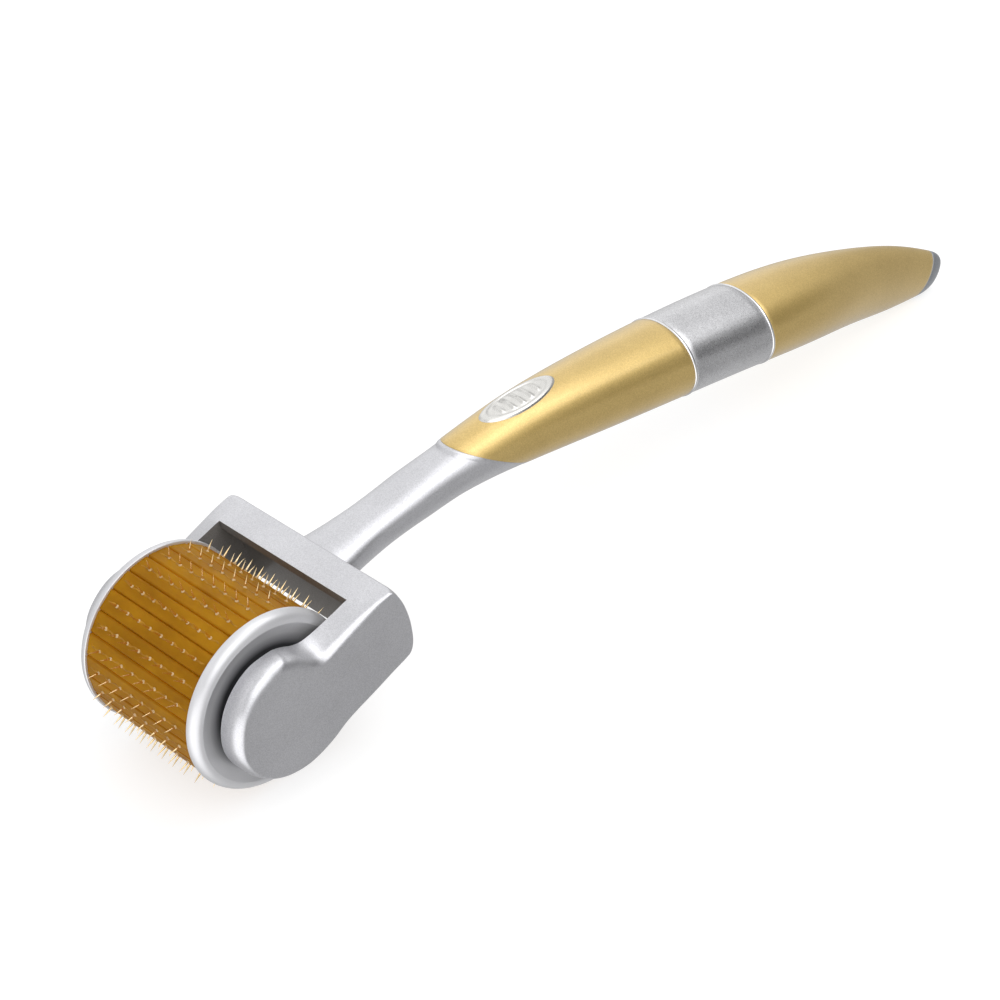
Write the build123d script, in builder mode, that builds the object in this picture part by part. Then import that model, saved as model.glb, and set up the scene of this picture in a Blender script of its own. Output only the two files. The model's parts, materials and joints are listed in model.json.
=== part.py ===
"""Needle roller for skin care: a forked head with a turning needle drum, on an arched handle.

Millimetres, +Z up. The roller stands as it does on a table, on two rows of needle tips and
on the lower edge of its tail. The origin is on the table under the middle of the object.
X runs along the drum's axle and +Y runs from the drum towards the tail.
"""

import os
from math import cos, radians, sin, tan

from build123d import *

os.makedirs("parts", exist_ok=True)

# ---------------------------------------------------------------- driving dimensions
# radii and heights in the head are measured from the axle

# needle bars
BAR_COUNT = 24
BAR_PITCH = 360 / BAR_COUNT
DRUM_LENGTH = 20.0
DRUM_R = 11.6  # to the flat outer face of a needle bar
BAR_FOOT_R = 9.3
BAR_KEY_R = 8.5
BAR_KEY_HALF = 0.5
BAR_SHOULDER = 0.3
BAR_GAP = 0.02

# drum core
CORE_RIM_R = 7.3
CORE_HUB_R = 3.8
CORE_BORE_R = 2.0
SPOKE_COUNT = 6
SPOKE_WIDTH = 1.2
SPOKE_LAP = 0.1  # how far a spoke runs into the rim

# needles
NEEDLES_PER_BAR = 8
NEEDLE_SPACING = 2.18
NEEDLE_OUT = 1.7
NEEDLE_ROOT = 1.2
NEEDLE_RADIUS = 0.13
NEEDLE_SHANK = 0.55
NEEDLE_TAPER = 5.7  # degrees
TIP_R = DRUM_R + NEEDLE_OUT

# end discs, bushes and axle
DISC_R = 12.0
DISC_THICK = 1.6
DISC_DISH = 0.65
DISC_EDGE = 0.15
DISC_RIM = 1.4
DISC_HUB_R = 5.4
BUSH_R = 3.0
BUSH_FLANGE_R = 4.2
BUSH_FLANGE = 0.4
AXLE_R = 1.5
AXLE_CLEARANCE = 0.05
AXLE_IN_BOSS = 2.0
AXLE_CHAMFER = 0.2

# fork
FORK_HALF = 15.6
ARM_INNER = 12.3
BOSS_R = 8.6
PLATE_TOP = 8.6
PLATE_THICK = 1.2
PLATE_BACK = 17.3
BACK_BULGE = (19.5, 3.6)
BACK_FOOT = (19.3, -2.0)
BACK_ROUND = 0.9
ARM_FOOT = (5.0, -6.8)
ARM_BLEND = 5.0
ARM_SLOPE = 0.25  # the tops of the arms fall this much per unit towards the bosses
ARM_TILT = 0.333  # and this much per unit outwards
SADDLE_BLEND = 2.0
WINDOW_BACK = 12.6
HOLLOW_TOP = (14.4, 7.4)
HOLLOW_FOOT = (20.6, -17.2)
FORK_EDGE = 0.7
NECK_FRONT = 17.8
TANG_FRONT = 42.0

# handle: (distance behind the axle, height above the axle, half width, half height)
STATIONS = [
    (17.0, 4.5, 5.2, 3.2),
    (24.0, 5.3, 4.0, 2.8),
    (33.0, 6.25, 3.8, 3.0),
    (42.0, 6.75, 4.1, 3.6),
    (52.0, 6.5, 4.9, 4.5),
    (66.0, 5.1, 5.9, 5.3),
    (80.0, 3.3, 6.6, 5.65),
    (94.0, 1.15, 6.9, 5.85),
    (106.0, -1.25, 6.2, 6.0),
    (117.0, -4.25, 4.3, 5.6),
    (126.0, -7.3, 2.8, 4.8),
    (133.0, -9.7, 1.8, 3.55),
    (138.0, -11.55, 1.3, 2.5),
]
NECK_STEP = 0.2  # the front grip stands this far proud of the neck
GRIP_WALL = 1.5
HOLLOW_LEAST = 0.5  # half size below which the hollow does not narrow
HOLLOW_FRONT = 6.0  # how far behind the grip's slanted start the hollow begins
GRIP_START = (40.6, 10.2)  # where the grip begins on the handle's crest
GRIP_START_SLOPE = 1.5  # back per unit down
BAND_FRONT = 79.2
BAND_REAR = 94.0
RING_WIDTH = 0.5
RING_PROUD = 0.12
CAP_CENTRE = (132.4, -9.8)
CAP_SLOPE = 0.75  # back per unit up
CAP_LENGTH = 2.5
CAP_EDGE = 0.6
SPINE_HALF = (2.4, 2.4)
SPINE_FRONT = 62.0
SPINE_REAR = 112.0
HOLLOW_REAR = 116.0
PARTING_DEPTH = 30.0  # reach of the cut that parts the grips, below the axle
RIB_WIDTH = 1.2
RIBS = (56.0, 73.0, 80.2, 91.8, 100.0, 110.0)
SPIGOT_R = 0.9
SPIGOT_LENGTH = 4.0

# badge on the crest of the front grip
BADGE_Y = 52.9
BADGE_HALF = (2.45, 6.4)
BADGE_FLOOR = 8.0
BADGE_REACH = 6.0
BADGE_PROUD = 0.25
BADGE_DEEP = 0.8
BADGE_RIM = 0.55

# the drum stands on the two rows of tips either side of its lowest groove
AXLE_Z = TIP_R * cos(radians(BAR_PITCH / 2))
TAIL_END = 136.6
AXLE_Y = (AXLE_Z - TAIL_END) / 2


# ---------------------------------------------------------------- helpers


def save(piece, label):
    """Label a finished piece and write it to its own file."""
    piece.label = label
    export_step(piece, f"parts/{label}.step")


def point(x, back, up):
    """A point x across, this far behind the axle and this far above it."""
    return (x, AXLE_Y + back, AXLE_Z + up)


def side_plane(x):
    """Side view at x: local x is the distance behind the axle, local y the height above it."""
    return Plane(origin=point(x, 0, 0), x_dir=(0, 1, 0), z_dir=(1, 0, 0))


def drum_plane(angle, x):
    """Cross-section of the drum at x, turned so that local y points out at this angle."""
    tangent = (0, sin(radians(angle)), -cos(radians(angle)))
    return Plane(origin=point(x, 0, 0), x_dir=tangent, z_dir=(1, 0, 0))


def needle_plane(angle, x, radius):
    """Plane square to a needle, this far from the axle."""
    back = cos(radians(angle))
    up = sin(radians(angle))
    return Plane(
        origin=point(x, radius * back, radius * up), x_dir=(1, 0, 0), z_dir=(0, back, up)
    )


def cross_plane(back, up, slope=0.0):
    """Plane across the handle through a point, leaning back by slope per unit of height."""
    return Plane(origin=point(0, back, up), x_dir=(1, 0, 0), z_dir=(0, 1, -slope))


bar_angles = [90 + BAR_PITCH * (i + 0.5) for i in range(BAR_COUNT)]
needle_xs = [(i - (NEEDLES_PER_BAR - 1) / 2) * NEEDLE_SPACING for i in range(NEEDLES_PER_BAR)]

# ---------------------------------------------------------------- needle drum

# spoked core, with one keyed seat for each needle bar
with BuildPart() as drum_core:
    with BuildSketch(side_plane(-DRUM_LENGTH / 2)):
        RegularPolygon(BAR_FOOT_R, BAR_COUNT, major_radius=False)
        with PolarLocations(BAR_FOOT_R, BAR_COUNT, start_angle=BAR_PITCH / 2):
            Rectangle(2 * (BAR_FOOT_R - BAR_KEY_R), 2 * BAR_KEY_HALF, mode=Mode.SUBTRACT)
        Circle(CORE_RIM_R, mode=Mode.SUBTRACT)
        with PolarLocations(CORE_RIM_R / 2 + SPOKE_LAP, SPOKE_COUNT):
            Rectangle(CORE_RIM_R, SPOKE_WIDTH)
        Circle(CORE_HUB_R)
        Circle(CORE_BORE_R, mode=Mode.SUBTRACT)
    extrude(amount=DRUM_LENGTH)
save(drum_core.part, "drum_core")

# bars: wedges with a key at the foot, rounded shoulders and a drilled row of needle seats
half_angle = tan(radians(BAR_PITCH / 2))
for number, angle in enumerate(bar_angles, 1):
    with BuildPart() as needle_bar:
        with BuildSketch(drum_plane(angle, -DRUM_LENGTH / 2)):
            with BuildLine():
                top = DRUM_R * half_angle - BAR_GAP
                foot = BAR_FOOT_R * half_angle - BAR_GAP
                key = BAR_KEY_HALF
                Polyline(
                    (-top, DRUM_R),
                    (top, DRUM_R),
                    (foot, BAR_FOOT_R),
                    (key, BAR_FOOT_R),
                    (key, BAR_KEY_R),
                    (-key, BAR_KEY_R),
                    (-key, BAR_FOOT_R),
                    (-foot, BAR_FOOT_R),
                    close=True,
                )
            shoulder_face = make_face()
            fillet(shoulder_face.vertices().group_by(Axis.Y)[-1], BAR_SHOULDER)
        extrude(amount=DRUM_LENGTH)
        for x in needle_xs:
            with BuildSketch(needle_plane(angle, x, DRUM_R)):
                Circle(NEEDLE_RADIUS)
        extrude(amount=-NEEDLE_ROOT, mode=Mode.SUBTRACT)
    save(needle_bar.part, f"needle_bar_{number:02d}")

# needles: a straight shank, then a long cone
with BuildPart() as needle:
    with BuildSketch(Plane.XY.offset(-NEEDLE_ROOT)):
        Circle(NEEDLE_RADIUS)
    extrude(amount=NEEDLE_ROOT + NEEDLE_SHANK)
    with BuildSketch(Plane.XY.offset(NEEDLE_SHANK)):
        Circle(NEEDLE_RADIUS)
    extrude(amount=NEEDLE_OUT - NEEDLE_SHANK, taper=NEEDLE_TAPER)
with BuildPart() as needles:
    seats = [needle_plane(angle, x, DRUM_R) for angle in bar_angles for x in needle_xs]
    with Locations(*seats):
        add(needle.part)
save(needles.part, "needles")

# end discs: rounded rim and dished outer face, with a bored hub
disc_start = DRUM_LENGTH / 2
disc_end = disc_start + DISC_THICK
for side, label in ((-1, "end_disc_left"), (1, "end_disc_right")):
    with BuildPart() as end_disc:
        with BuildSketch(Plane(origin=point(0, 0, 0), x_dir=(side, 0, 0), z_dir=(0, side, 0))):
            with BuildLine():
                Line((disc_start, BUSH_R), (disc_start, DISC_R - DISC_EDGE))
                RadiusArc(
                    (disc_start, DISC_R - DISC_EDGE), (disc_start + DISC_EDGE, DISC_R), DISC_EDGE
                )
                Line((disc_start + DISC_EDGE, DISC_R), (disc_end - DISC_RIM, DISC_R))
                RadiusArc((disc_end - DISC_RIM, DISC_R), (disc_end, DISC_R - DISC_RIM), DISC_RIM)
                ThreePointArc(
                    (disc_end, DISC_R - DISC_RIM),
                    (disc_end - DISC_DISH, (DISC_R - DISC_RIM + DISC_HUB_R) / 2),
                    (disc_end, DISC_HUB_R),
                )
                Line((disc_end, DISC_HUB_R), (disc_end, BUSH_R))
                Line((disc_end, BUSH_R), (disc_start, BUSH_R))
            make_face()
        revolve(axis=Axis(point(0, 0, 0), (1, 0, 0)))
    save(end_disc.part, label)

# bushes: a sleeve in each disc's hub, with a flange that spaces it from the fork
for side, label in ((-1, "bush_left"), (1, "bush_right")):
    with BuildPart() as bush:
        with BuildSketch(Plane(origin=point(side * disc_start, 0, 0), z_dir=(side, 0, 0))):
            Circle(BUSH_R)
        extrude(amount=DISC_THICK)
        with BuildSketch(Plane(origin=point(side * disc_end, 0, 0), z_dir=(side, 0, 0))):
            Circle(BUSH_FLANGE_R)
        extrude(amount=BUSH_FLANGE)
        with BuildSketch(Plane(origin=point(side * disc_start, 0, 0), z_dir=(side, 0, 0))):
            Circle(AXLE_R + AXLE_CLEARANCE)
        extrude(amount=DISC_THICK + BUSH_FLANGE, mode=Mode.SUBTRACT)
    save(bush.part, label)

# axle: a plain pin, held in a blind hole in each arm
axle_half = ARM_INNER + AXLE_IN_BOSS
with BuildPart() as axle_pin:
    with BuildSketch(side_plane(-axle_half)):
        Circle(AXLE_R)
    extrude(amount=2 * axle_half)
    chamfer(axle_pin.edges().filter_by(GeomType.CIRCLE), AXLE_CHAMFER)
save(axle_pin.part, "axle_pin")

# ---------------------------------------------------------------- handle forms


def handle_form(size):
    """Solid along the handle's curve. size turns a station's half width and height into its own."""
    with BuildPart() as form:
        for i, (back, up, half_width, half_height) in enumerate(STATIONS):
            before = STATIONS[max(i - 1, 0)]
            after = STATIONS[min(i + 1, len(STATIONS) - 1)]
            along = (0, after[0] - before[0], after[1] - before[1])
            with BuildSketch(Plane(origin=point(0, back, up), x_dir=(1, 0, 0), z_dir=along)):
                Ellipse(*size(half_width, half_height))
        loft()
    return form.part


grip_form = handle_form(lambda w, h: (w, h))
neck_form = handle_form(lambda w, h: (w - NECK_STEP, h - NECK_STEP))
ring_form = handle_form(lambda w, h: (w + RING_PROUD, h + RING_PROUD))
hollow_form = handle_form(lambda w, h: (max(w - GRIP_WALL, HOLLOW_LEAST), max(h - GRIP_WALL, HOLLOW_LEAST)))
spine_form = handle_form(lambda w, h: SPINE_HALF)
badge_form = handle_form(lambda w, h: (w + BADGE_PROUD, h + BADGE_PROUD))
seat_form = handle_form(lambda w, h: (w - BADGE_DEEP, h - BADGE_DEEP))

grip_start = cross_plane(*GRIP_START, slope=-GRIP_START_SLOPE)
cap_start = cross_plane(*CAP_CENTRE, slope=CAP_SLOPE)
front_ring_start = cross_plane(BAND_FRONT - RING_WIDTH / 2, 0)
band_start = cross_plane(BAND_FRONT + RING_WIDTH / 2, 0)
band_end = cross_plane(BAND_REAR - RING_WIDTH / 2, 0)
rear_ring_end = cross_plane(BAND_REAR + RING_WIDTH / 2, 0)
badge_plane = Plane(origin=point(0, BADGE_Y, BADGE_FLOOR), x_dir=(1, 0, 0), z_dir=(0, 0, 1))


def between(form, start, end):
    """The stretch of a form between two cross planes."""
    with BuildPart() as stretch:
        add(form)
        split(bisect_by=start, keep=Keep.TOP)
        split(bisect_by=end, keep=Keep.BOTTOM)
    return stretch.part


# the space inside the grips, crossed by ribs that hold the spine
with BuildPart() as hollow:
    add(between(hollow_form, grip_start.offset(HOLLOW_FRONT), cross_plane(HOLLOW_REAR, 0)))
    for back in RIBS:
        add(
            between(grip_form, cross_plane(back, 0), cross_plane(back + RIB_WIDTH, 0)),
            mode=Mode.SUBTRACT,
        )
    add(between(spine_form, grip_start, cross_plane(SPINE_REAR, 0)))

# everything below the parting line of the grips
with BuildPart() as lower_side:
    with BuildSketch(side_plane(-FORK_HALF)):
        with BuildLine():
            parting = Spline(*[(back, up) for back, up, _, _ in STATIONS])
            Polyline(
                parting @ 1,
                (STATIONS[-1][0], -PARTING_DEPTH),
                (STATIONS[0][0], -PARTING_DEPTH),
                parting @ 0,
            )
        make_face()
    extrude(amount=2 * FORK_HALF)

# ---------------------------------------------------------------- fork

# what is taken off the arms, so that their tops slope down from the crossbar to the bosses
with BuildPart() as arm_slopes:
    for side in (-1, 1):
        slope_plane = Plane(
            origin=point(side * ARM_INNER, WINDOW_BACK, PLATE_TOP),
            x_dir=(0, 1, ARM_SLOPE),
            z_dir=(side * ARM_TILT, -ARM_SLOPE, 1),
        )
        with BuildSketch(slope_plane):
            Rectangle(2 * FORK_HALF, 2 * FORK_HALF)
        extrude(amount=BOSS_R)
    with BuildSketch(side_plane(-FORK_HALF)):
        Circle(BOSS_R)
    extrude(amount=2 * FORK_HALF, mode=Mode.SUBTRACT)

# round bosses at the front, and an open-bottomed crossbar at the back
with BuildPart() as head:
    with BuildSketch(side_plane(-FORK_HALF)) as outline:
        with BuildLine():
            Line((0, PLATE_TOP), (PLATE_BACK, PLATE_TOP))
            ThreePointArc((PLATE_BACK, PLATE_TOP), BACK_BULGE, BACK_FOOT)
            Polyline(BACK_FOOT, ARM_FOOT, (0, 0), (0, PLATE_TOP))
        make_face()
        Circle(BOSS_R)
        fillet(outline.vertices().sort_by_distance(ARM_FOOT)[0], ARM_BLEND)
        fillet(outline.vertices().sort_by_distance(BACK_FOOT)[0], BACK_ROUND)
    extrude(amount=2 * FORK_HALF)
    add(arm_slopes.part, mode=Mode.SUBTRACT)
    with BuildSketch(side_plane(-ARM_INNER)):
        with BuildLine():
            Polyline(
                (-2 * BOSS_R, 2 * BOSS_R),
                (WINDOW_BACK, 2 * BOSS_R),
                (WINDOW_BACK, PLATE_TOP - PLATE_THICK),
                HOLLOW_TOP,
                HOLLOW_FOOT,
                (-2 * BOSS_R, HOLLOW_FOOT[1]),
                close=True,
            )
        make_face()
    extrude(amount=2 * ARM_INNER, mode=Mode.SUBTRACT)
    fillet(head.edges().filter_by(GeomType.ELLIPSE), SADDLE_BLEND)
    for side_face in (head.faces().sort_by(Axis.X)[0], head.faces().sort_by(Axis.X)[-1]):
        fillet(side_face.edges(), FORK_EDGE)
    with BuildSketch(side_plane(-axle_half)):
        Circle(AXLE_R)
    extrude(amount=2 * axle_half, mode=Mode.SUBTRACT)

# the neck grows out of the crossbar, and its tang runs on inside the front grip
with BuildPart() as fork_frame:
    add(head.part)
    add(between(neck_form, cross_plane(NECK_FRONT, 0), grip_start))
    add(between(spine_form, cross_plane(TANG_FRONT, 0), cross_plane(SPINE_FRONT, 0)))
save(fork_frame.part, "fork_frame")

# ---------------------------------------------------------------- handle pieces

# spine: a stiff core that carries on from the tang to the rear grip
with BuildPart() as spine:
    add(between(spine_form, cross_plane(SPINE_FRONT, 0), cross_plane(SPINE_REAR, 0)))
save(spine.part, "handle_spine")

# badge: a plain oval plate with a raised rim, in a recess on the crest of the front grip
with BuildPart() as badge_pocket:
    with BuildSketch(badge_plane):
        Ellipse(*BADGE_HALF)
    extrude(amount=BADGE_REACH)
    add(seat_form, mode=Mode.SUBTRACT)
with BuildPart() as badge_field:
    with BuildSketch(badge_plane):
        Ellipse(BADGE_HALF[0] - BADGE_RIM, BADGE_HALF[1] - BADGE_RIM)
    extrude(amount=BADGE_REACH)
    add(grip_form, mode=Mode.SUBTRACT)
with BuildPart() as badge:
    add(badge_pocket.part)
    add(badge_form, mode=Mode.INTERSECT)
    add(badge_field.part, mode=Mode.SUBTRACT)
save(badge.part, "badge")

# front grip: two half shells that close round the tang
with BuildPart() as front_grip:
    add(between(grip_form, grip_start, front_ring_start))
    add(hollow.part, mode=Mode.SUBTRACT)
    add(badge_pocket.part, mode=Mode.SUBTRACT)
with BuildPart() as front_grip_top:
    add(front_grip.part)
    add(lower_side.part, mode=Mode.SUBTRACT)
save(front_grip_top.part, "front_grip_top")
with BuildPart() as front_grip_bottom:
    add(front_grip.part)
    add(lower_side.part, mode=Mode.INTERSECT)
save(front_grip_bottom.part, "front_grip_bottom")

# band on the spine, with a thin trim ring against each grip
with BuildPart() as centre_band:
    add(between(grip_form, band_start, band_end))
    add(hollow.part, mode=Mode.SUBTRACT)
save(centre_band.part, "centre_band")
with BuildPart() as trim_ring_front:
    add(between(ring_form, front_ring_start, band_start))
    add(hollow.part, mode=Mode.SUBTRACT)
save(trim_ring_front.part, "trim_ring_front")
with BuildPart() as trim_ring_rear:
    add(between(ring_form, band_end, rear_ring_end))
    add(hollow.part, mode=Mode.SUBTRACT)
save(trim_ring_rear.part, "trim_ring_rear")

# tail cap: a slanted end plate with a spigot that plugs into the rear grip
with BuildPart() as spigot:
    with BuildSketch(cap_start):
        Circle(SPIGOT_R)
    extrude(amount=-SPIGOT_LENGTH)
with BuildPart() as tail_cap:
    add(between(grip_form, cap_start, cap_start.offset(CAP_LENGTH)))
    fillet(tail_cap.faces().sort_by(Axis.Y)[-1].edges(), CAP_EDGE)
    add(spigot.part)
save(tail_cap.part, "tail_cap")

# rear grip: two half shells that close round the spine and the spigot
with BuildPart() as rear_grip:
    add(between(grip_form, rear_ring_end, cap_start))
    add(hollow.part, mode=Mode.SUBTRACT)
    add(spigot.part, mode=Mode.SUBTRACT)
with BuildPart() as rear_grip_top:
    add(rear_grip.part)
    add(lower_side.part, mode=Mode.SUBTRACT)
save(rear_grip_top.part, "rear_grip_top")
with BuildPart() as rear_grip_bottom:
    add(rear_grip.part)
    add(lower_side.part, mode=Mode.INTERSECT)
save(rear_grip_bottom.part, "rear_grip_bottom")
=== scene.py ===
"""Looks of the needle roller: painted fork, arched handle and amber needle drum.

Lengths are in millimetres, and MM or at() turns them into metres; the floor and the key light are
in metres. Heights and distances in the head and along the handle are measured from the drum's
axle: "back" towards the tail, "up" above the axle.
"""

import json
from math import cos, pi, radians, sin

import bmesh
import bpy
import numpy as np
from mathutils import Matrix, Vector


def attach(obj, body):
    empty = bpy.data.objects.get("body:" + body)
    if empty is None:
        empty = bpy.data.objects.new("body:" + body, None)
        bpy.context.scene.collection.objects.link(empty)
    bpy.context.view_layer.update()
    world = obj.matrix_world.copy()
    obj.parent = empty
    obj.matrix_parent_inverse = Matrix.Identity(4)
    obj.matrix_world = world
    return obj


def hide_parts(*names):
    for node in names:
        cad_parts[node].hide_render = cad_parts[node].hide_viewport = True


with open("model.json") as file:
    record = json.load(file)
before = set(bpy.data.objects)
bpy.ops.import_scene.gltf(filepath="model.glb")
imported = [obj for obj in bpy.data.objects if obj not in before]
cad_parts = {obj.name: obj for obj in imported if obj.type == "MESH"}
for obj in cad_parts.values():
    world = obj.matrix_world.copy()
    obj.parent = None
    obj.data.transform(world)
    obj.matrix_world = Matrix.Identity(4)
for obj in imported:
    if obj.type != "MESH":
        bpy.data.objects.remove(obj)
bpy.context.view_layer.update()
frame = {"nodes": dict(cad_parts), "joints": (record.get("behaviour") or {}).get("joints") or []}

MM = 0.001
AXLE = Vector(frame["joints"][0]["pos_m"])
BARS = 24
BAR_ANGLE = 2 * pi / BARS
DRUM_R = 11.6  # to the bars' flat outer faces


def at(x, back, up):
    """A point given in millimetres from the middle of the axle, in metres."""
    return Vector((x * MM, AXLE.y + back * MM, AXLE.z + up * MM))


# ---------------------------------------------------------------- mesh helpers


def add_object(name, verts, faces, smooth=True):
    mesh = bpy.data.meshes.new(name)
    mesh.from_pydata([tuple(v) for v in verts], [], faces)
    mesh.update()
    obj = bpy.data.objects.new(name, mesh)
    bpy.context.scene.collection.objects.link(obj)
    if smooth:
        mesh.shade_smooth()
    return obj


def tube_faces(rings, n, base=0, capped=True):
    """Faces over rings of n points each, the first of them at base in the list of points."""
    faces = []
    for start in range(base, base + (rings - 1) * n, n):
        for j in range(n):
            k = (j + 1) % n
            faces.append((start + j, start + k, start + n + k, start + n + j))
    if capped:
        last = base + (rings - 1) * n
        faces.append(tuple(reversed(range(base, base + n))))
        faces.append(tuple(range(last, last + n)))
    return faces


def tube(name, rings, capped=True):
    """A skin over closed rings of points, all with the same count."""
    n = len(rings[0])
    verts = [p for ring in rings for p in ring]
    obj = add_object(name, verts, tube_faces(len(rings), n, 0, capped))
    tidy(obj)
    return obj


def tidy(obj):
    """Merges doubled points and turns every face outwards."""
    bm = bmesh.new()
    bm.from_mesh(obj.data)
    bmesh.ops.remove_doubles(bm, verts=bm.verts, dist=1e-7)
    bmesh.ops.dissolve_degenerate(bm, edges=bm.edges, dist=1e-8)
    bmesh.ops.recalc_face_normals(bm, faces=bm.faces)
    bm.to_mesh(obj.data)
    bm.free()


def combine(obj, tool, operation):
    """Cuts a tool from a solid, or joins it on, and removes the tool."""
    cut = obj.modifiers.new("combine", "BOOLEAN")
    cut.operation = operation
    cut.solver = "EXACT"
    cut.object = tool
    depsgraph = bpy.context.evaluated_depsgraph_get()
    mesh = bpy.data.meshes.new_from_object(obj.evaluated_get(depsgraph))
    obj.modifiers.clear()
    obj.data = mesh
    bpy.data.objects.remove(tool)


def soften(obj, width, segments=2, angle=35):
    """Rounds the edges sharper than an angle and evens the shading."""
    bevel = obj.modifiers.new("edges", "BEVEL")
    bevel.width = width * MM
    bevel.segments = segments
    bevel.limit_method = "ANGLE"
    bevel.angle_limit = radians(angle)
    bevel.harden_normals = False
    normals = obj.modifiers.new("normals", "WEIGHTED_NORMAL")
    normals.keep_sharp = True
    obj.data.shade_smooth()


def spline(y, x, where):
    """Natural cubic spline through the values y at the knots x."""
    n = len(x)
    gap = np.diff(x)
    left = np.eye(n)
    right = np.zeros(n)
    for i in range(1, n - 1):
        left[i, i - 1 : i + 2] = gap[i - 1], 2 * (gap[i - 1] + gap[i]), gap[i]
        right[i] = 6 * ((y[i + 1] - y[i]) / gap[i] - (y[i] - y[i - 1]) / gap[i - 1])
    bend = np.linalg.solve(left, right)  # the second derivative at each knot
    i = np.clip(np.searchsorted(x, where) - 1, 0, n - 2)
    before = x[i + 1] - where
    after = where - x[i]
    return (
        (bend[i] * before**3 + bend[i + 1] * after**3) / (6 * gap[i])
        + (y[i] / gap[i] - bend[i] * gap[i] / 6) * before
        + (y[i + 1] / gap[i] - bend[i + 1] * gap[i] / 6) * after
    )


# ---------------------------------------------------------------- handle surface

# along the centre line: back, up, half width, half height
STATIONS = np.array(
    [
        (17.0, 4.5, 5.2, 3.2),
        (24.0, 5.3, 4.0, 2.8),
        (33.0, 6.25, 3.8, 3.0),
        (42.0, 6.75, 4.1, 3.6),
        (52.0, 6.5, 4.9, 4.5),
        (66.0, 5.1, 5.9, 5.3),
        (80.0, 3.3, 6.6, 5.65),
        (94.0, 1.15, 6.9, 5.85),
        (106.0, -1.25, 6.2, 6.0),
        (117.0, -4.25, 4.3, 5.6),
        (126.0, -7.3, 2.8, 4.8),
        (133.0, -9.85, 1.85, 3.4),
        (138.0, -11.85, 1.4, 2.2),
    ]
)
SLOPE_REACH = 0.01
MEET_STEPS = 30
AROUND = 96  # points round the grips, the band and the rings
NECK_AROUND = 64  # points round the neck and the tail cap


def angles(n):
    """Even steps round a full turn."""
    return np.linspace(0, 2 * pi, n, endpoint=False)


def section(s):
    """Centre height, slope and half sizes of the handle where its centre line is s back."""
    back, up, width, height = STATIONS.T
    ahead = spline(up, back, s + SLOPE_REACH)
    behind = spline(up, back, s - SLOPE_REACH)
    slope = (ahead - behind) / (2 * SLOPE_REACH)
    return spline(up, back, s), slope, spline(width, back, s), spline(height, back, s)


def skin(s, theta, grow=0.0, square=1.0):
    """Points (x, back, up) on the handle's skin; theta 90 degrees is the crest.

    A square below 1 makes the oval section boxier.
    """
    up, slope, width, height = section(s)
    lean = np.sqrt(1 + slope**2)
    side = np.sign(np.cos(theta)) * np.abs(np.cos(theta)) ** square
    out = (height + grow) * np.sign(np.sin(theta)) * np.abs(np.sin(theta)) ** square
    return np.stack([(width + grow) * side, s - out * slope / lean, up + out / lean], -1)


def skin_ring(s, theta, grow=0.0, square=1.0):
    """A ring of points on the skin, in metres."""
    return [at(*p) for p in skin(s, theta, grow, square)]


def meet(theta, back, up, slope, grow=0.0):
    """Where each theta's skin crosses a plane through (back, up) that leans back by slope."""
    s = np.full_like(theta, back)
    for _ in range(MEET_STEPS):
        point = skin(s, theta, grow)
        s = s - ((point[..., 1] - back) - slope * (point[..., 2] - up))
    return s


# joints along the handle; the slanted ones are planes (back, up, slope)
GRIP_START = (40.6, 10.2, -1.5)
RING_FRONT = 79.2
RING_REAR = 94.0
RING_HALF = 0.25
CAP_START = (132.4, -9.8, 0.75)
SEAM = 0.03  # half the gap at a joint between two pieces


def shell(name, start, end, rows, wall):
    """A sleeve of the handle's skin between two planes, with a wall behind it."""
    n = AROUND
    theta = angles(n)
    s0 = meet(theta, *start)
    s = s0 + (meet(theta, *end) - s0) * np.linspace(0, 1, rows)[:, None]
    around = np.broadcast_to(theta, s.shape).ravel()
    verts = skin_ring(s.ravel(), around) + skin_ring(s.ravel(), around, -wall)
    k = rows * n
    outside = tube_faces(rows, n, capped=False)
    faces = outside + [tuple(v + k for v in reversed(f)) for f in outside]
    for j in range(n):
        a, b = j, (j + 1) % n
        faces.append((a, a + k, b + k, b))
        a += (rows - 1) * n
        b += (rows - 1) * n
        faces.append((a, b, b + k, a + k))
    obj = add_object(name, verts, faces)
    tidy(obj)
    soften(obj, 0.05)
    return obj


# ---------------------------------------------------------------- materials


def new_material(name):
    mat = bpy.data.materials.new(name)
    mat.use_nodes = True
    tree = mat.node_tree
    return mat, tree, tree.nodes["Principled BSDF"]


def node(tree, kind, **settings):
    new = tree.nodes.new(kind)
    for key, value in settings.items():
        if key in new.inputs:
            new.inputs[key].default_value = value
        else:
            setattr(new, key, value)
    return new


def ramp(tree, source, stops):
    blend = node(tree, "ShaderNodeValToRGB")
    elements = blend.color_ramp.elements
    while len(elements) < len(stops):
        elements.new(0.5)
    for element, (position, colour) in zip(elements, stops):
        element.position = position
        element.color = (*colour, 1)
    tree.links.new(source, blend.inputs["Fac"])
    return blend.outputs["Color"]


def noise(tree, scale, detail=3.0, roughness=0.5, stretch=None):
    coords = node(tree, "ShaderNodeTexCoord")
    texture = node(tree, "ShaderNodeTexNoise", Scale=scale, Detail=detail, Roughness=roughness)
    vector = coords.outputs["Object"]
    if stretch:
        mapping = node(tree, "ShaderNodeMapping", Scale=stretch)
        tree.links.new(vector, mapping.inputs["Vector"])
        vector = mapping.outputs["Vector"]
    tree.links.new(vector, texture.inputs["Vector"])
    return texture.outputs["Fac"]


def span(tree, source, low, high, from_low=0.3, from_high=0.7):
    """Maps a value from one range onto another, held at the ends."""
    limits = {"From Min": from_low, "From Max": from_high, "To Min": low, "To Max": high}
    mapped = node(tree, "ShaderNodeMapRange", **limits)
    tree.links.new(source, mapped.inputs["Value"])
    return mapped.outputs["Result"]


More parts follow.
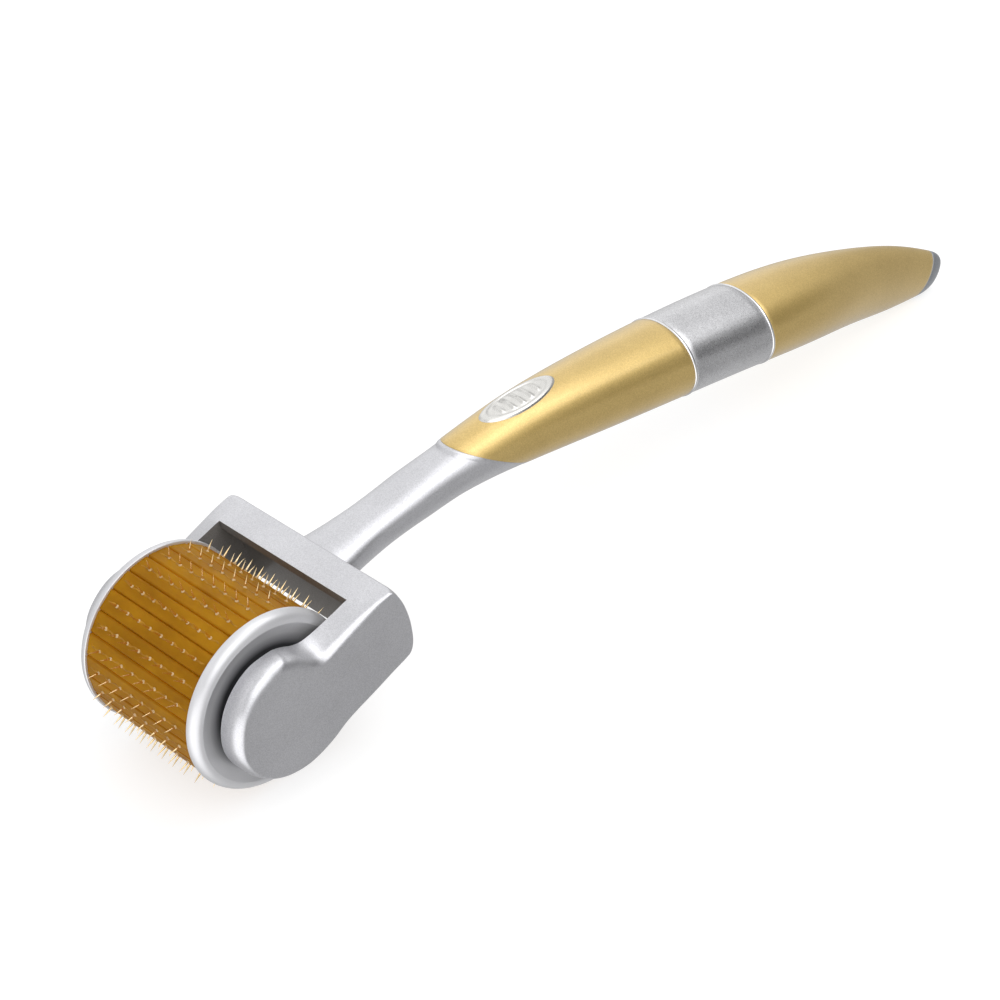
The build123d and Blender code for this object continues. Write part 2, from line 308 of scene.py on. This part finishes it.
def bump(tree, shader, height, strength, distance):
    dents = node(tree, "ShaderNodeBump", Strength=strength, Distance=distance)
    tree.links.new(height, dents.inputs["Height"])
    tree.links.new(dents.outputs["Normal"], shader.inputs["Normal"])


def calc(tree, operation, *values):
    """A maths node; each value is a number or another node's output."""
    maths = node(tree, "ShaderNodeMath", operation=operation)
    for socket, value in zip(maths.inputs, values):
        if isinstance(value, (int, float)):
            socket.default_value = value
        else:
            tree.links.new(value, socket)
    return maths.outputs[0]


def from_axle(tree):
    """How far back from the axle and above it a point of the surface is, in metres."""
    coords = node(tree, "ShaderNodeTexCoord")
    parts = node(tree, "ShaderNodeSeparateXYZ")
    tree.links.new(coords.outputs["Object"], parts.inputs["Vector"])
    back = calc(tree, "SUBTRACT", parts.outputs["Y"], AXLE.y)
    up = calc(tree, "SUBTRACT", parts.outputs["Z"], AXLE.z)
    return back, up


def groove_light_and_shade(tree, reach_mm):
    """Mask for painted light and shade: 0 in the groove between two needle bars, rising to 1 this far from
    it.
    """
    back, up = from_axle(tree)
    turn = calc(tree, "MULTIPLY", calc(tree, "ARCTAN2", up, back), 1 / BAR_ANGLE)
    off = calc(tree, "PINGPONG", turn, 0.5)
    return span(tree, off, 0.0, 1.0, 0.0, reach_mm / (BAR_ANGLE * DRUM_R))


def hub_shade(tree, dark_mm, clean_mm):
    """Mask for painted shade: 0 this near the axle, rising to 1 this far from it."""
    back, up = from_axle(tree)
    squares = calc(tree, "ADD", calc(tree, "POWER", back, 2), calc(tree, "POWER", up, 2))
    return span(tree, calc(tree, "SQRT", squares), 0.0, 1.0, dark_mm * MM, clean_mm * MM)


def shaded(tree, shader, colour, shade, stops):
    """Multiplies a colour by a ramp over a shade, as the shader's base colour."""
    mix = node(tree, "ShaderNodeMix", data_type="RGBA", blend_type="MULTIPLY")
    mix.inputs[0].default_value = 1.0
    tree.links.new(colour, mix.inputs[6])
    tree.links.new(ramp(tree, shade, stops), mix.inputs[7])
    tree.links.new(mix.outputs[2], shader.inputs["Base Color"])


def clouded(tree, shader, cloud, dark, light, rough, stops=(0.3, 0.7)):
    """Colour and roughness that drift together with a noise."""
    colour = ramp(tree, cloud, [(stops[0], dark), (stops[1], light)])
    tree.links.new(colour, shader.inputs["Base Color"])
    tree.links.new(span(tree, cloud, *rough), shader.inputs["Roughness"])


COAT_ROUGH = 0.18
PEEL = 0.15  # strength of the orange peel in the paints


def flake_paint(name, deep, light, metallic, rough, flake_mm, sparkle, coat=0.3):
    """Paint with fine metal flakes: each flake has its own brightness under a clear coat."""
    mat, tree, shader = new_material(name)
    coords = node(tree, "ShaderNodeTexCoord")
    cells = node(tree, "ShaderNodeTexVoronoi", Scale=1 / (flake_mm * MM))
    tree.links.new(coords.outputs["Object"], cells.inputs["Vector"])
    split = node(tree, "ShaderNodeSeparateColor")
    tree.links.new(cells.outputs["Color"], split.inputs["Color"])
    drift = span(tree, noise(tree, 90, 4.0, 0.6), 0.42 - sparkle / 2, 0.58 - sparkle / 2)
    tone = calc(tree, "MULTIPLY_ADD", split.outputs["Red"], sparkle, drift)
    colour = ramp(tree, tone, [(0.0, deep), (1.0, light)])
    tree.links.new(colour, shader.inputs["Base Color"])
    shader.inputs["Metallic"].default_value = metallic
    tree.links.new(
        span(tree, split.outputs["Green"], rough - 0.05, rough + 0.07, 0, 1),
        shader.inputs["Roughness"],
    )
    shader.inputs["Coat Weight"].default_value = coat
    shader.inputs["Coat Roughness"].default_value = COAT_ROUGH
    bump(tree, shader, noise(tree, 1400, 2.0), PEEL, 0.02 * MM)
    return mat


silver = flake_paint("silver_coat", (0.42, 0.42, 0.44), (0.80, 0.80, 0.83), 0.85, 0.36, 0.10, 0.35)
gold = flake_paint("gold_coat", (0.44, 0.29, 0.08), (0.88, 0.65, 0.25), 0.68, 0.34, 0.10, 0.30, coat=0.7)
glitter = flake_paint("glitter_coat", (0.34, 0.34, 0.35), (0.86, 0.86, 0.88), 0.9, 0.32, 0.08, 0.60)
tail_coat = flake_paint("tail_coat", (0.22, 0.23, 0.25), (0.48, 0.50, 0.53), 0.8, 0.38, 0.10, 0.35)
disc_coat = flake_paint("disc_coat", (0.58, 0.58, 0.60), (0.80, 0.80, 0.82), 0.6, 0.40, 0.05, 0.2)

badge_coat = flake_paint("badge_coat", (0.56, 0.55, 0.53), (0.80, 0.79, 0.76), 0.9, 0.30, 0.06, 0.2)
# painted shade: a darker coat for the faces inside the fork's hollow, where shade falls between the arms
# and under the crossbar
hollow_shade = flake_paint("hollow_shade_coat", (0.15, 0.142, 0.132), (0.29, 0.275, 0.26), 0.5, 0.5, 0.14, 0.3)


def paint_hub_shade(mat):
    """Painted shade: darkens a disc's paint in the narrow gap round its hub, where the arm's boss shades
    it.
    """
    tree = mat.node_tree
    shader = tree.nodes["Principled BSDF"]
    stops = [(0.0, (0.12, 0.12, 0.13)), (0.45, (0.62, 0.62, 0.64)), (1.0, (1, 1, 1))]
    paint_colour = shader.inputs["Base Color"].links[0].from_socket
    shaded(tree, shader, paint_colour, hub_shade(tree, 7.5, 9.2), stops)


paint_hub_shade(disc_coat)


def bright_metal(name, colour, rough):
    """Turned or plated metal with faint marks that run round it."""
    mat, tree, shader = new_material(name)
    shader.inputs["Metallic"].default_value = 1.0
    cloud = noise(tree, 700, 3.0, stretch=(1, 0.15, 0.15))
    dark = tuple(c * 0.88 for c in colour)
    clouded(tree, shader, cloud, dark, colour, (rough * 0.8, rough * 1.3))
    bump(tree, shader, noise(tree, 5000, 2.0), 0.06, 0.01 * MM)
    return mat


chrome = bright_metal("ring_chrome", (0.88, 0.88, 0.89), 0.14)
steel = bright_metal("axle_turned", (0.62, 0.62, 0.62), 0.3)


def amber():
    """Waxy, slightly see-through amber moulding, cloudy inside."""
    mat, tree, shader = new_material("amber_moulding")
    cloud = noise(tree, 260, 5.0, 0.6, stretch=(0.5, 1, 1))
    ambers = [(0.28, (0.24, 0.098, 0.001)), (0.5, (0.31, 0.135, 0.002)), (0.72, (0.38, 0.178, 0.005))]
    # painted light in the groove between bars, lifting the colour against the shadow there, and painted
    # shade just beside it
    edges = [(0.0, (1.9, 1.7, 1.3)), (0.3, (0.88, 0.8, 0.6)), (1.0, (1, 1, 1))]
    shaded(tree, shader, ramp(tree, cloud, ambers), groove_light_and_shade(tree, 0.34), edges)
    shader.inputs["Subsurface Weight"].default_value = 0.25
    shader.inputs["Subsurface Radius"].default_value = (1.0, 0.5, 0.12)
    shader.inputs["Subsurface Scale"].default_value = 0.8 * MM
    tree.links.new(span(tree, cloud, 0.34, 0.46), shader.inputs["Roughness"])
    shader.inputs["IOR"].default_value = 1.45
    shader.inputs["Specular IOR Level"].default_value = 0.08
    fine = noise(tree, 2600, 3.0, 0.55, stretch=(0.25, 1, 1))
    bump(tree, shader, fine, 0.25, 0.03 * MM)
    return mat


def needle_gold():
    mat, tree, shader = new_material("needle_gilt")
    shader.inputs["Metallic"].default_value = 1.0
    clouded(tree, shader, noise(tree, 900, 2.0), (0.92, 0.66, 0.34), (1.0, 0.82, 0.52), (0.16, 0.28))
    return mat


def resin():
    mat, tree, shader = new_material("clear_resin")
    clouded(tree, shader, noise(tree, 1500, 2.0), (0.62, 0.40, 0.16), (0.85, 0.62, 0.34), (0.04, 0.10))
    shader.inputs["Transmission Weight"].default_value = 0.35
    shader.inputs["IOR"].default_value = 1.48
    return mat


def glue():
    mat, tree, shader = new_material("amber_glue")
    cloud = noise(tree, 1100, 3.0)
    clouded(tree, shader, cloud, (0.26, 0.11, 0.004), (0.40, 0.19, 0.012), (0.36, 0.5), (0.35, 0.65))
    shader.inputs["Specular IOR Level"].default_value = 0.2
    return mat


def moulding(name, dark, light, rough):
    """Plain moulded plastic, a little cloudy."""
    mat, tree, shader = new_material(name)
    clouded(tree, shader, noise(tree, 300, 4.0), dark, light, (rough - 0.05, rough + 0.08))
    bump(tree, shader, noise(tree, 4000, 3.0), 0.2, 0.02 * MM)
    return mat


amber_mat = amber()
core_mat = moulding("core_moulding", (0.26, 0.13, 0.02), (0.36, 0.19, 0.04), 0.45)
bush_mat = moulding("bush_moulding", (0.60, 0.60, 0.58), (0.75, 0.75, 0.73), 0.4)


def paint(obj, *materials):
    obj.data.materials.clear()
    for mat in materials:
        obj.data.materials.append(mat)


nodes = frame["nodes"]
for name, obj in nodes.items():
    if name.startswith("needle_bar"):
        paint(obj, amber_mat)
for name, mat in (
    ("needles", needle_gold()),
    ("drum_core", core_mat),
    ("handle_spine", core_mat),
    ("bush_left", bush_mat),
    ("bush_right", bush_mat),
    ("axle_pin", steel),
    ("end_disc_left", disc_coat),
    ("end_disc_right", disc_coat),
):
    paint(nodes[name], mat)


def place(obj, body, slot, mat, *replaced):
    """Finishes a piece: its material, the body it rides on and the nodes it stands for."""
    paint(obj, mat)
    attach(obj, body)
    if replaced:
        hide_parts(*replaced)


# ---------------------------------------------------------------- fork

FACE_X = 15.6
ROUND_X = 14.1  # where the rounding of the side faces starts
ARM_INNER = 12.3
ROUNDNESS = 1.12  # 1 is a true quarter ellipse, more is fuller towards the corner
ROUND_STEPS = 8
LOOP_STEPS = 5  # points from one row of the tables to the next

# (outline back, up), (border of the flat side face back, up), from the boss's top round by the front
PROFILE = [
    ((0.0, 8.2), (-1.0, 6.45)),
    ((-2.9, 7.85), (-2.6, 6.3)),
    ((-5.5, 6.35), (-4.6, 5.3)),
    ((-7.45, 4.0), (-6.4, 3.6)),
    ((-8.45, 1.1), (-7.3, 1.0)),
    ((-8.45, -1.8), (-7.5, -1.6)),
    ((-7.3, -4.6), (-6.65, -4.2)),
    ((-5.2, -6.9), (-4.8, -6.4)),
    ((-2.5, -8.25), (-2.3, -7.75)),
    ((0.6, -8.6), (0.55, -8.15)),
    ((3.3, -8.1), (3.1, -7.7)),
    ((5.6, -7.2), (5.5, -6.75)),
    ((7.4, -6.15), (7.4, -5.7)),
    ((9.4, -5.35), (9.4, -4.9)),
    ((12.4, -4.4), (12.3, -3.95)),
    ((15.6, -3.3), (15.4, -2.85)),
    ((18.0, -2.5), (17.7, -2.1)),
    ((19.1, -1.9), (18.6, -1.6)),
    ((19.55, -0.7), (19.1, -0.5)),
    ((19.65, 1.0), (19.2, 1.0)),
    ((19.5, 3.2), (19.05, 3.2)),
    ((19.0, 5.5), (18.55, 5.4)),
    ((18.3, 7.2), (17.85, 7.1)),
    ((17.75, 8.1), (17.35, 7.95)),
    ((17.45, 8.5), (17.1, 8.3)),
]
# (inner edge back, up), (start of the rounding x, back, up), (border back, up), from back to front
ARM_TOP = [
    ((17.1, 8.6), (15.1, 16.9, 8.6), (16.7, 8.28)),
    ((16.4, 8.6), (15.1, 16.1, 8.55), (16.0, 8.05)),
    ((14.8, 8.6), (15.0, 14.5, 8.3), (14.4, 7.5)),
    ((12.6, 8.5), (14.8, 12.2, 7.72), (12.0, 6.65)),
    ((10.3, 7.88), (14.7, 9.8, 6.95), (9.6, 5.8)),
    ((8.2, 7.35), (14.6, 7.6, 6.2), (7.4, 5.0)),
    ((6.4, 6.95), (14.5, 6.0, 5.75), (5.9, 4.58)),
    ((4.9, 6.8), (14.4, 4.7, 6.0), (4.5, 4.45)),
    ((3.5, 7.1), (14.3, 3.4, 6.75), (3.0, 4.85)),
    ((2.3, 7.65), (14.2, 2.2, 7.5), (1.5, 5.6)),
    ((1.2, 8.05), (14.1, 1.1, 7.95), (0.2, 6.15)),
]


def closed_curve(points):
    """A smooth closed curve through points, LOOP_STEPS to each of them."""
    knots = np.array(points)
    n = len(knots)
    out = []
    for i in range(n):
        a, b, c, d = knots[i - 1], knots[i], knots[(i + 1) % n], knots[(i + 2) % n]
        for k in range(LOOP_STEPS):
            t = k / LOOP_STEPS
            bend = (2 * a - 5 * b + 4 * c - d) * t**2 + (3 * b - a - 3 * c + d) * t**3
            out.append(0.5 * (2 * b + (c - a) * t + bend))
    return np.array(out)


def fork_body():
    """Both arms and the crossbar as one pillow, before it is hollowed."""
    loop = [(a, (ROUND_X, *a), b) for a, b in PROFILE] + ARM_TOP
    inner_edge = closed_curve([(ARM_INNER, *a) for a, _, _ in loop])
    start = closed_curve([a for _, a, _ in loop])
    border = closed_curve([(FACE_X, *a) for _, _, a in loop])
    stretch = (FACE_X - start[:, :1]) / (start[:, :1] - ARM_INNER)
    corner = start + (start - inner_edge) * stretch
    half = []
    for phi in np.linspace(0, pi / 2, ROUND_STEPS + 1):
        lean = sin(phi) ** ROUNDNESS
        across = max(0.0, cos(phi)) ** ROUNDNESS
        half.append(corner + (border - corner) * (1 - lean) + (start - corner) * (1 - across))
    half += [(start + inner_edge) / 2, inner_edge]
    left = [[at(-x, b, u) for x, b, u in ring] for ring in half]
    right = [[at(x, b, u) for x, b, u in ring] for ring in half]
    return tube("fork", left + right[::-1])


NECK_START = 17.3
LIP_START = 1.1  # before the grip
NECK_ROWS = 36
NECK_BACKS = [18.0, 24.0, 34.0, 39.5]
NECK_SQUARES = [1.0, 0.85, 0.85, 1.0]
# the lip against the grip: (before the grip, share of its full rise)
LIP = [(0.95, 0.15), (0.8, 0.5), (0.6, 0.85), (0.35, 1.0), (0.1, 0.9), (0.0, 0.75)]
# the tang inside the grip: (past the grip's start, depth under the neck's skin)
TANG = [(0.0, 1.2), (4.0, 1.6)]


def neck():
    """Neck from inside the crossbar to a low lip against the grip, then the tang."""
    theta = angles(NECK_AROUND)
    end = meet(theta, *GRIP_START)
    start = np.full_like(theta, NECK_START)
    rings = []
    proud = -0.04 - 0.26 * np.clip(np.sin(theta), 0, 1) ** 1.5
    for t in np.linspace(0, 1, NECK_ROWS):
        s = start + (end - LIP_START - start) * t
        square = np.interp(s, NECK_BACKS, NECK_SQUARES)
        rings.append(skin_ring(s, theta, proud, square))
    for before, rise in LIP:
        rings.append(skin_ring(end - before, theta, proud * (1 - rise)))
    for past, depth in TANG:
        rings.append(skin_ring(end + past, theta, proud - depth))
    return tube("neck", rings)


WINDOW_BACK = 12.6
# the hollow between the arms from the side (back, up): the window in the top plate, the ledge
# under the crossbar, and the wall that slopes down and back
HOLLOW = [(-20, 20), (WINDOW_BACK, 20), (WINDOW_BACK, 7.4), (14.4, 7.4), (20.6, -17.2), (-20, -17.2)]
SHADE_BACK = 17.0  # the painted shade on the hollow's inner faces reaches this far from the axle
SHADE_UP = 8.5

fork = fork_body()
combine(fork, neck(), "UNION")
combine(fork, tube("hollow", [[at(x, *p) for p in HOLLOW] for x in (-ARM_INNER, ARM_INNER)]), "DIFFERENCE")
paint(fork, silver, hollow_shade)
# faces inside the hollow take the darker coat, as painted shade
for face in fork.data.polygons:
    x, back, up = (face.center - AXLE) / MM
    inside = abs(x) < ARM_INNER + 0.01 and up < SHADE_UP and abs(back) < SHADE_BACK
    faces_in = abs(face.normal.x) > 0.9 or back > WINDOW_BACK + 0.1 or face.normal.y < -0.5
    face.material_index = 1 if inside and faces_in else 0
soften(fork, 0.22, segments=3, angle=38)
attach(fork, "handle")
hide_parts("fork_frame")

# ---------------------------------------------------------------- handle pieces

GRIP_ROWS = 60
BAND_ROWS = 16
FRONT_WALL = 1.3  # of the front grip and the band
REAR_WALL = 1.0

front_joint = (RING_FRONT - RING_HALF - SEAM, 0, 0)
rear_joint = (RING_REAR + RING_HALF + SEAM, 0, 0)
front_grip = shell("front_grip_skin", GRIP_START, front_joint, GRIP_ROWS, FRONT_WALL)
place(front_grip, "handle", "gold_paint", gold, "front_grip_top", "front_grip_bottom")
rear_grip = shell("rear_grip_skin", rear_joint, CAP_START, GRIP_ROWS, REAR_WALL)
place(rear_grip, "handle", "gold_paint", gold, "rear_grip_top", "rear_grip_bottom")

band_front = (RING_FRONT + RING_HALF + SEAM, 0, 0)
band_rear = (RING_REAR - RING_HALF - SEAM, 0, 0)
band = shell("centre_band_skin", band_front, band_rear, BAND_ROWS, FRONT_WALL)
place(band, "handle", "glitter_band", glitter, "centre_band")


# the front half of a trim ring's section, to its middle: (back, out from the handle's skin)
RING_SECTION = [(-0.22, -1.2), (-0.22, 0.0), (-0.17, 0.07), (-0.09, 0.11), (0, 0.12)]


def trim_ring(name, back):
    """A thin half-round ring standing a little proud of its neighbours."""
    theta = angles(AROUND)
    rings = []
    for offset, grow in RING_SECTION + [(-b, g) for b, g in RING_SECTION[-2::-1]]:
        s = meet(theta, back + offset, 0, 0, grow)
        rings.append(skin_ring(s, theta, grow))
    rings.append(rings[0])
    return tube(name, rings, capped=False)


for name, back in (("trim_ring_front", RING_FRONT), ("trim_ring_rear", RING_REAR)):
    place(trim_ring(f"{name}_bead", back), "handle", "ring_silver", chrome, name)

PLUG = (2.5, 1.1)  # length inside the grip, depth under the skin
TAIL_LENGTH = 4.625
TAIL_SHRINK = 1.75
TAIL_STEPS = 9


def tail():
    """Slanted cap with a rounded end, and a plug inside the grip."""
    theta = angles(NECK_AROUND)
    back, up, slope = CAP_START
    rings = []
    seam = SEAM * 1.5
    profile = [(-PLUG[0], -PLUG[1]), (seam, -PLUG[1]), (seam, -0.06), (seam + 0.06, 0.0)]
    for k in range(1, TAIL_STEPS):
        a = k / TAIL_STEPS * pi / 2
        profile.append((TAIL_LENGTH * (0.1 + 0.9 * sin(a)), -TAIL_SHRINK * (1 - cos(a)) ** 1.15))
    for offset, grow in profile:
        s = meet(theta, back + offset, up, slope, grow)
        rings.append(skin_ring(s, theta, grow))
    obj = tube("tail_cap_end", rings)
    soften(obj, 0.05, angle=50)
    return obj


place(tail(), "handle", "tail_grey", tail_coat, "tail_cap")

BADGE_BACK = 52.9
BADGE_HALF = (2.45, 6.4)
BADGE_COLS = 96
BADGE_THICK = 0.8
BADGE_PROUD = 0.02  # of the grip's skin
RELIEF = 0.2  # height of the rim and the ribs
RIB_PITCH = 1.6
CREST_STEPS = 8


def crest(x, back):
    """Height of the handle's skin above a point, seen from straight above."""
    s = np.array([back])
    for _ in range(CREST_STEPS):
        width = section(s)[2]
        point = skin(s, np.arccos(np.clip(x / width, -1, 1)))[0]
        s = s + (back - point[1])
    return point[2]


def badge():
    """Plain oval plate with a raised rim and low cross ribs."""
    steps = [*np.arange(0.04, 0.7, 0.04), 0.72, 0.76, 0.79, 0.82, 0.86, 0.90, 0.94, 0.97, 0.99, 1.0]
    rings = []
    for r in steps:
        rim = np.interp(r, [0.74, 0.82, 0.95, 1.0], [0, 1, 1, 0])
        rim = rim * rim * (3 - 2 * rim)
        ribs = np.interp(r, [0.56, 0.68], [1, 0])
        ring = []
        for j in range(BADGE_COLS):
            a = 2 * pi * j / BADGE_COLS
            x = r * BADGE_HALF[0] * cos(a)
            y = r * BADGE_HALF[1] * sin(a)
            rib = max(0.0, cos(2 * pi * y / RIB_PITCH)) ** 1.5 * ribs
            face = crest(x, BADGE_BACK + y) + BADGE_PROUD
            ring.append(at(x, BADGE_BACK + y, face + RELIEF * (rim + rib)))
        rings.append(ring)
    rings.append([p - Vector((0, 0, BADGE_THICK * MM)) for p in rings[-1]])
    return tube("badge_plate", rings)


place(badge(), "handle", "badge_gold", badge_coat, "badge")

# ---------------------------------------------------------------- drum dressing

NEEDLE_PITCH = 2.18
NEEDLE_XS = [(i - 3.5) * NEEDLE_PITCH for i in range(8)]
NEEDLE_R = 0.125
rng = np.random.default_rng(7)


def bar_angle(i):
    """Direction from the axle to the middle of a bar's face."""
    return pi / 2 + BAR_ANGLE * (i + 0.5)


def drum_point(x, angle, side, out):
    """A point over a bar: side along the bar's face across the drum, out from the axle."""
    return at(x, out * cos(angle) + side * sin(angle), out * sin(angle) - side * cos(angle))


# a bead's section (radius, height), from its rim to the needle
BEAD_SECTION = [(0.25, -0.03), (0.25, 0.03), (0.23, 0.09), (0.19, 0.14), (0.15, 0.18), (NEEDLE_R, 0.24)]
BEAD_COLS = 12


def beads():
    """Small clear domes of resin at the foot of every needle."""
    verts, faces = [], []
    rings = len(BEAD_SECTION)
    for i in range(BARS):
        for x in NEEDLE_XS:
            size = rng.uniform(0.85, 1.15)
            dx, dy = rng.uniform(-0.03, 0.03, 2)
            faces += tube_faces(rings, BEAD_COLS, len(verts))
            for k, (r, h) in enumerate(BEAD_SECTION):
                drift = 1 - k / (rings - 1)
                grown = NEEDLE_R + (r - NEEDLE_R) * size
                for j in range(BEAD_COLS):
                    a = 2 * pi * j / BEAD_COLS
                    along = x + grown * cos(a) + dx * drift
                    side = grown * sin(a) + dy * drift
                    verts.append(drum_point(along, bar_angle(i), side, DRUM_R + h * size))
    obj = add_object("resin_beads", verts, faces)
    tidy(obj)
    return obj


GLUE_END = 9.4
GLUE_POINTS = 95  # along each line
GLUE_SIZE = (0.15, 0.05)  # half width and height
# a glue line's section, as shares of its size
GLUE_SECTION = [(-1, -0.6), (-0.75, 0.55), (0, 1.0), (0.75, 0.55), (1, -0.6)]


def glue_lines():
    """The wandering line of glue along each needle row."""
    verts, faces = [], []
    xs = np.linspace(-GLUE_END, GLUE_END, GLUE_POINTS)
    wide, high = GLUE_SIZE
    for i in range(BARS):
        angle = bar_angle(i)
        a, b, c = rng.uniform(0, 2 * pi, 3)
        middle = 0.07 * np.sin(xs * 2.1 + a) + 0.05 * np.sin(xs * 5.3 + b)
        at_needles = 0.35 * np.cos((xs - NEEDLE_XS[0]) * 2 * pi / NEEDLE_PITCH)
        swell = 1 + at_needles + 0.2 * np.sin(xs * 3.7 + c)
        ends = np.clip((GLUE_END - np.abs(xs)) / 0.4, 0.05, 1)
        faces += tube_faces(len(xs), len(GLUE_SECTION), len(verts))
        for x, m, k in zip(xs, middle, swell * ends):
            for w, h in GLUE_SECTION:
                verts.append(drum_point(x, angle, m + wide * k * w, DRUM_R + high * k * h))
    obj = add_object("glue_lines", verts, faces)
    tidy(obj)
    return obj


place(beads(), "drum", "amber_plastic", resin())
place(glue_lines(), "drum", "amber_plastic", glue())

# ---------------------------------------------------------------- stage, light and camera

# the floor glows by itself and takes soft shadows, but doesn't light the roller from below
FLOOR_GLOW = 0.69
FLOOR_HALF = 20  # metres

floor_mat, tree, shader = new_material("floor_white")
shade = ramp(tree, noise(tree, 3, 2.0), [(0.3, (0.36, 0.36, 0.36)), (0.7, (0.38, 0.38, 0.38))])
tree.links.new(shade, shader.inputs["Base Color"])
shader.inputs["Roughness"].default_value = 1.0
shader.inputs["Specular IOR Level"].default_value = 0.0
shader.inputs["Emission Color"].default_value = (1, 1, 1, 1)
shader.inputs["Emission Strength"].default_value = FLOOR_GLOW
corners = [(x * FLOOR_HALF, y * FLOOR_HALF, 0) for x, y in ((-1, -1), (1, -1), (1, 1), (-1, 1))]
floor = add_object("floor", corners, [(0, 1, 2, 3)], False)
paint(floor, floor_mat)
floor.visible_diffuse = False
floor.visible_glossy = False
floor.visible_transmission = False

KEY_AT = Vector((0.3, 0.3, 0.5))
KEY_AIM = Vector((0, 0, 0.01))
KEY_SIZE = 0.3
KEY_POWER = 0.5

key_data = bpy.data.lights.new("key", "AREA")
key_data.size = KEY_SIZE
key_data.energy = KEY_POWER
key = bpy.data.objects.new("key", key_data)
bpy.context.scene.collection.objects.link(key)
key.location = KEY_AT
key.rotation_euler = (KEY_AIM - KEY_AT).to_track_quat("-Z", "Y").to_euler()

# the studio round the roller: an even base, and soft lobes (direction, edge, core, brightness);
# edge and core are cosines of the angle from the lobe's middle, and the last lobe is a dark flag
BASE = 0.42
LOBES = [
    ((0.0, 0.0, 1.0), 0.3, 1.0, 0.45),
    ((-0.62, 0.5, 0.6), 0.78, 1.0, 0.45),
    ((-0.55, -0.75, 0.1), 0.3, 0.9, 0.42),
    ((0.14, 0.42, 0.9), 0.91, 0.99, 1.15),
    ((-0.86, 0.5, 0.1), 0.86, 0.97, 0.45),
    ((0.78, -0.12, 0.62), 0.82, 0.95, 1.65),
    ((0.45, -0.78, -0.4), 0.62, 0.94, 1.4),
    ((-0.05, 0.55, -0.83), 0.7, 1.0, 0.22),
    ((0.68, 0.62, 0.40), 0.86, 0.97, -0.42),
]

world = bpy.data.worlds.new("studio")
bpy.context.scene.world = world
world.use_nodes = True
tree = world.node_tree
background = tree.nodes["Background"]
coords = node(tree, "ShaderNodeTexCoord")
total = BASE
for direction, edge, core, brightness in LOBES:
    toward = node(tree, "ShaderNodeVectorMath", operation="DOT_PRODUCT")
    toward.inputs[1].default_value = Vector(direction).normalized()
    tree.links.new(coords.outputs["Generated"], toward.inputs[0])
    lobe = node(tree, "ShaderNodeMapRange", interpolation_type="SMOOTHSTEP")
    lobe.inputs["From Min"].default_value = edge
    lobe.inputs["From Max"].default_value = core
    lobe.inputs["To Max"].default_value = brightness
    tree.links.new(toward.outputs["Value"], lobe.inputs["Value"])
    total = calc(tree, "ADD", total, lobe.outputs["Result"])
tree.links.new(total, background.inputs["Color"])
background.inputs["Strength"].default_value = 1.0

bpy.context.scene.view_settings.view_transform = "Standard"

CAMERA_AT = (245.44, -153.26, 231.08)
CAMERA_RIGHT = Vector((0.6823, 0.7254, -0.0912)).normalized()
CAMERA_FORWARD = Vector((-0.6223, 0.5108, -0.5932)).normalized()
LENS = 108.06

camera_data = bpy.data.cameras.new("camera")
camera_data.lens = LENS
camera_data.sensor_width = 36.0
camera_data.clip_start = 0.01
camera = bpy.data.objects.new("camera", camera_data)
bpy.context.scene.collection.objects.link(camera)
down = CAMERA_FORWARD.cross(CAMERA_RIGHT).normalized()
right = down.cross(CAMERA_FORWARD).normalized()
axes = Matrix((right, -down, -CAMERA_FORWARD)).transposed()
camera.matrix_world = Matrix.Translation(at(*CAMERA_AT)) @ axes.to_4x4()
bpy.context.scene.camera = camera
